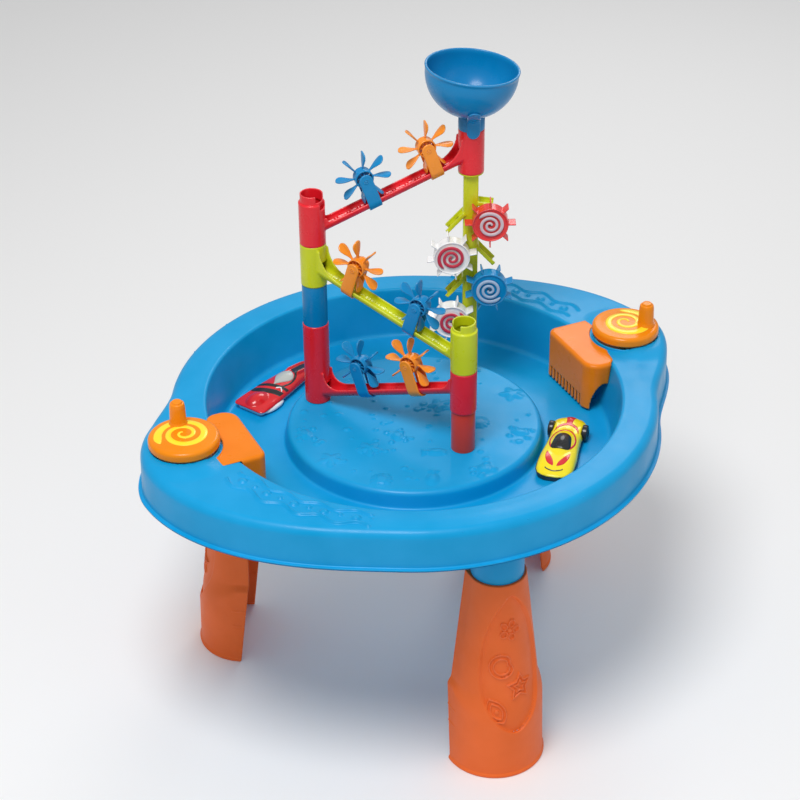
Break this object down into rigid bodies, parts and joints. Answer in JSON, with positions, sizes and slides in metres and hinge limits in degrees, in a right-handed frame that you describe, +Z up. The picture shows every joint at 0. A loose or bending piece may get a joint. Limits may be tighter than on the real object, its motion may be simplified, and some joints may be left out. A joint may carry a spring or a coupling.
{
  "type": "sand and water table",
  "caption": "Round three-legged play table with a ring water channel, island, hand-cranked paddle pumps, a trough tower with water wheels, a funnel and toy cars.",
  "frame": {"origin": "on the floor under the centre of the round tub", "axes": "+X along the tub's long axis through the two cranks, +Y across it, +Z up"},
  "size_m": [0.7902, 0.668, 0.849],
  "materials": {
    "tub_blue": "satin moulded plastic",
    "leg_orange": "matte moulded plastic",
    "pump_orange": "glossy moulded plastic",
    "crank_orange": "glossy moulded plastic",
    "spiral_yellow": "glossy moulded plastic",
    "gear_white": "natural acetal",
    "impeller_red": "moulded plastic",
    "screw_steel": "plated screw",
    "tower_red": "glossy moulded plastic",
    "tower_orange": "glossy moulded plastic",
    "tower_green": "glossy moulded plastic",
    "tower_blue": "glossy moulded plastic",
    "wheel_orange": "glossy moulded plastic",
    "wheel_blue": "glossy moulded plastic",
    "wheel_red": "translucent moulded plastic",
    "wheel_white": "glossy moulded plastic",
    "inlay_grey": "printed disc",
    "inlay_crimson": "printed disc",
    "inlay_steel_blue": "printed disc",
    "racer_red": "glossy moulded plastic",
    "car_white": "glossy moulded plastic",
    "canopy_grey": "glossy moulded plastic",
    "coupe_yellow": "glossy moulded plastic",
    "car_black": "glossy moulded plastic"
  },
  "bodies": {
    "table": {"tub": "tub_blue", "leg_front": "leg_orange", "leg_right": "leg_orange", "leg_left": "leg_orange", "pump_housing_right": "pump_orange", "pump_housing_left": "pump_orange", "drive_base_right": "gear_white", "drive_base_left": "gear_white", "drive_screws": "screw_steel", "base_tube": "tower_orange", "low_trough": "tower_red", "spacer_tube": "tower_blue", "middle_trough": "tower_green", "top_trough": "tower_red", "post_ring": "tower_green", "wheel_post": "tower_green", "funnel": "tower_blue", "wheel_pins": "screw_steel", "wheel_clip_1": "wheel_orange", "wheel_clip_2": "wheel_blue", "wheel_clip_3": "wheel_orange", "wheel_clip_4": "wheel_blue", "wheel_clip_5": "wheel_orange", "wheel_clip_6": "wheel_blue"},
    "drain_plug": {"drain_plug": "tub_blue"},
    "crank_right": {"crank_disc_right": "crank_orange", "crank_gear_right": "gear_white", "crank_spiral_right": "spiral_yellow", "crank_knob_right": "crank_orange"},
    "impeller_right": {"impeller_right": "impeller_red", "impeller_pinion_right": "gear_white"},
    "crank_left": {"crank_disc_left": "crank_orange", "crank_gear_left": "gear_white", "crank_spiral_left": "spiral_yellow", "crank_knob_left": "crank_orange"},
    "impeller_left": {"impeller_left": "impeller_red", "impeller_pinion_left": "gear_white"},
    "paddle_wheel_1": {"paddle_wheel_1": "wheel_orange"},
    "paddle_wheel_2": {"paddle_wheel_2": "wheel_blue"},
    "paddle_wheel_3": {"paddle_wheel_3": "wheel_orange"},
    "paddle_wheel_4": {"paddle_wheel_4": "wheel_blue"},
    "paddle_wheel_5": {"paddle_wheel_5": "wheel_orange"},
    "paddle_wheel_6": {"paddle_wheel_6": "wheel_blue"},
    "spiral_wheel_1": {"spiral_wheel_1": "wheel_red", "spiral_inlay_1": "inlay_grey"},
    "spiral_wheel_2": {"spiral_wheel_2": "wheel_white", "spiral_inlay_2": "inlay_crimson"},
    "spiral_wheel_3": {"spiral_wheel_3": "wheel_blue", "spiral_inlay_3": "inlay_steel_blue"},
    "spiral_wheel_4": {"spiral_wheel_4": "wheel_white", "spiral_inlay_4": "inlay_crimson"},
    "racer": {"racer_hull": "car_white", "racer_body": "racer_red", "racer_canopy": "canopy_grey"},
    "coupe": {"coupe_hull": "car_black", "coupe_body": "coupe_yellow", "coupe_canopy": "car_black", "coupe_wheels": "car_black"}
  },
  "joints": [
    {"name": "drain_plug_pull", "type": "slide", "parent": "table", "child": "drain_plug", "axis": [0, 0, 1], "range_m": [0, 0.03]},
    {"name": "crank_right_turn", "type": "hinge", "parent": "table", "child": "crank_right", "pos_m": [0.327, 0, 0.44], "axis": [0, 0, 1], "continuous": true},
    {"name": "impeller_right_spin", "type": "hinge", "parent": "table", "child": "impeller_right", "pos_m": [0.266, 0, 0.4], "axis": [0, 0, 1], "continuous": true},
    {"name": "crank_left_turn", "type": "hinge", "parent": "table", "child": "crank_left", "pos_m": [-0.327, 0, 0.44], "axis": [0, 0, 1], "continuous": true},
    {"name": "impeller_left_spin", "type": "hinge", "parent": "table", "child": "impeller_left", "pos_m": [-0.266, 0, 0.4], "axis": [0, 0, 1], "continuous": true},
    {"name": "paddle_wheel_1_spin", "type": "hinge", "parent": "table", "child": "paddle_wheel_1", "pos_m": [0.0603, 0.08834, 0.7384], "axis": [-0.1319, -0.9913, 0], "continuous": true},
    {"name": "paddle_wheel_2_spin", "type": "hinge", "parent": "table", "child": "paddle_wheel_2", "pos_m": [-0.0246, 0.09964, 0.70764], "axis": [-0.1319, -0.9913, 0], "continuous": true},
    {"name": "paddle_wheel_3_spin", "type": "hinge", "parent": "table", "child": "paddle_wheel_3", "pos_m": [-0.057, 0.04869, 0.60808], "axis": [0.8461, 0.5331, 0], "continuous": true},
    {"name": "paddle_wheel_4_spin", "type": "hinge", "parent": "table", "child": "paddle_wheel_4", "pos_m": [-0.00619, -0.03196, 0.57788], "axis": [0.8461, 0.5331, 0], "continuous": true},
    {"name": "paddle_wheel_5_spin", "type": "hinge", "parent": "table", "child": "paddle_wheel_5", "pos_m": [-0.01423, -0.01919, 0.48658], "axis": [-0.8461, -0.5331, 0], "continuous": true},
    {"name": "paddle_wheel_6_spin", "type": "hinge", "parent": "table", "child": "paddle_wheel_6", "pos_m": [-0.05696, 0.04862, 0.45827], "axis": [-0.8461, -0.5331, 0], "continuous": true},
    {"name": "spiral_wheel_1_spin", "type": "hinge", "parent": "table", "child": "spiral_wheel_1", "pos_m": [0.13692, 0.04933, 0.629], "axis": [-0.4195, -0.9078, 0], "continuous": true},
    {"name": "spiral_wheel_2_spin", "type": "hinge", "parent": "table", "child": "spiral_wheel_2", "pos_m": [0.09062, 0.07072, 0.5795], "axis": [-0.4195, -0.9078, 0], "continuous": true},
    {"name": "spiral_wheel_3_spin", "type": "hinge", "parent": "table", "child": "spiral_wheel_3", "pos_m": [0.13692, 0.04933, 0.53], "axis": [-0.4195, -0.9078, 0], "continuous": true},
    {"name": "spiral_wheel_4_spin", "type": "hinge", "parent": "table", "child": "spiral_wheel_4", "pos_m": [0.09062, 0.07072, 0.4805], "axis": [-0.4195, -0.9078, 0], "continuous": true},
    {"name": "racer_drift", "type": "hinge", "parent": "table", "child": "racer", "pos_m": [0, 0, 0.36], "axis": [0, 0, 1], "range_deg": [-88, 22]},
    {"name": "coupe_drift", "type": "hinge", "parent": "table", "child": "coupe", "pos_m": [0, 0, 0.36], "axis": [0, 0, 1], "range_deg": [-98, 24]}
  ],
  "couplings": [
    {"joint": "impeller_right_spin", "follows": "crank_right_turn", "ratio": -2.05},
    {"joint": "impeller_left_spin", "follows": "crank_left_turn", "ratio": -2.05}
  ]
}
